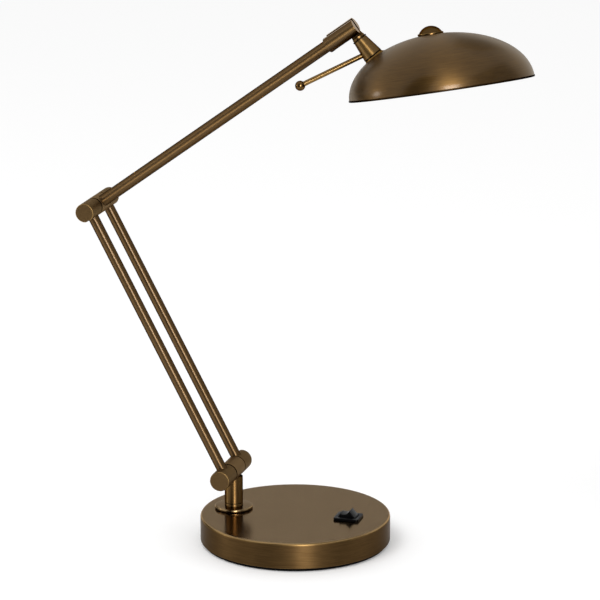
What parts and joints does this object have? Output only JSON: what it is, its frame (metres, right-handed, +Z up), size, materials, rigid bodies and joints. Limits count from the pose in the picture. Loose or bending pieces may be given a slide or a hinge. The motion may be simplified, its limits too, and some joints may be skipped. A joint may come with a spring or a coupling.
{
  "type": "articulated desk lamp",
  "caption": "Articulated desk lamp in dark satin brass: heavy round base, swivel post, twin struts, single arm and a domed shade with a ball-ended handle.",
  "frame": {"origin": "centre of the base's underside, on the table", "axes": "+X along the arm towards the head, +Y across the arm, +Z up"},
  "size_m": [0.4708, 0.2026, 0.5624],
  "materials": {
    "antique_brass": "satin brushed",
    "steel": "zinc plated",
    "cast_iron": "as cast",
    "pad": "matte",
    "black_plastic": "satin",
    "ceramic": "glazed",
    "glass": "clear",
    "contacts": "bright"
  },
  "bodies": {
    "base": {"base_shell": "antique_brass", "base_pad": "pad", "base_plate": "steel", "base_weight": "cast_iron", "base_standoffs": "steel", "plate_screws": "steel", "switch_housing": "black_plastic", "switch_terminals": "contacts", "cord_grommet": "black_plastic", "post_flange": "antique_brass"},
    "rocker": {"switch_rocker": "black_plastic"},
    "post": {"post": "antique_brass", "post_ring": "antique_brass", "post_stud": "steel", "post_washer": "steel", "post_nut": "steel", "lower_hub": "antique_brass"},
    "lower_arm": {"lower_ear_front": "antique_brass", "lower_ear_rear": "antique_brass", "lower_bolt": "steel", "lower_washers": "black_plastic", "lower_cap": "antique_brass", "strut_front": "antique_brass", "strut_rear": "antique_brass", "elbow_ear_front": "antique_brass", "elbow_ear_rear": "antique_brass", "elbow_bolt": "steel", "elbow_washers": "black_plastic", "elbow_cap": "antique_brass"},
    "upper_arm": {"elbow_hub": "antique_brass", "arm_tube": "antique_brass", "arm_ferrule": "antique_brass"},
    "fork": {"fork": "antique_brass", "fork_washer": "steel", "fork_nut": "steel", "tilt_screw": "antique_brass", "tilt_washers": "steel"},
    "neck": {"tongue": "antique_brass", "neck_flange": "antique_brass", "neck_nipple": "steel", "neck_washer": "steel", "neck_nut": "steel"},
    "head": {"socket_cup": "antique_brass", "shade_collar": "antique_brass", "shade_nut": "antique_brass", "shade": "antique_brass", "finial": "antique_brass", "finial_stud": "steel", "finial_nut": "steel", "lampholder": "ceramic", "holder_contacts": "contacts", "bulb_glass": "glass", "bulb_base": "ceramic", "bulb_pins": "steel", "bulb_filament": "steel", "handle_rod": "antique_brass", "handle_ball": "antique_brass"}
  },
  "joints": [
    {"name": "rocker_tilt", "type": "hinge", "parent": "base", "child": "rocker", "pos_m": [0.058, 0, 0.031], "axis": [0, 1, 0], "range_deg": [0, 36]},
    {"name": "post_swivel", "type": "hinge", "parent": "base", "child": "post", "pos_m": [-0.0678, 0, 0.0339], "axis": [0, 0, 1], "range_deg": [-90, 90]},
    {"name": "lower_hinge", "type": "hinge", "parent": "post", "child": "lower_arm", "pos_m": [-0.0707, 0, 0.0715], "axis": [0, 1, 0], "range_deg": [-25, 35]},
    {"name": "elbow_hinge", "type": "hinge", "parent": "lower_arm", "child": "upper_arm", "pos_m": [-0.21583, 0, 0.35029], "axis": [0, 1, 0], "range_deg": [-50, 35]},
    {"name": "fork_swivel", "type": "hinge", "parent": "upper_arm", "child": "fork", "pos_m": [0.03408, 0, 0.53253], "axis": [0.808, 0, 0.5892], "range_deg": [-90, 90]},
    {"name": "head_tilt", "type": "hinge", "parent": "fork", "child": "neck", "pos_m": [0.05946, 0, 0.55103], "axis": [0, 1, 0], "range_deg": [-80, 4]},
    {"name": "neck_swivel", "type": "hinge", "parent": "neck", "child": "head", "pos_m": [0.06831, 0, 0.54084], "axis": [0.6561, 0, -0.7547], "range_deg": [-60, 60]}
  ]
}
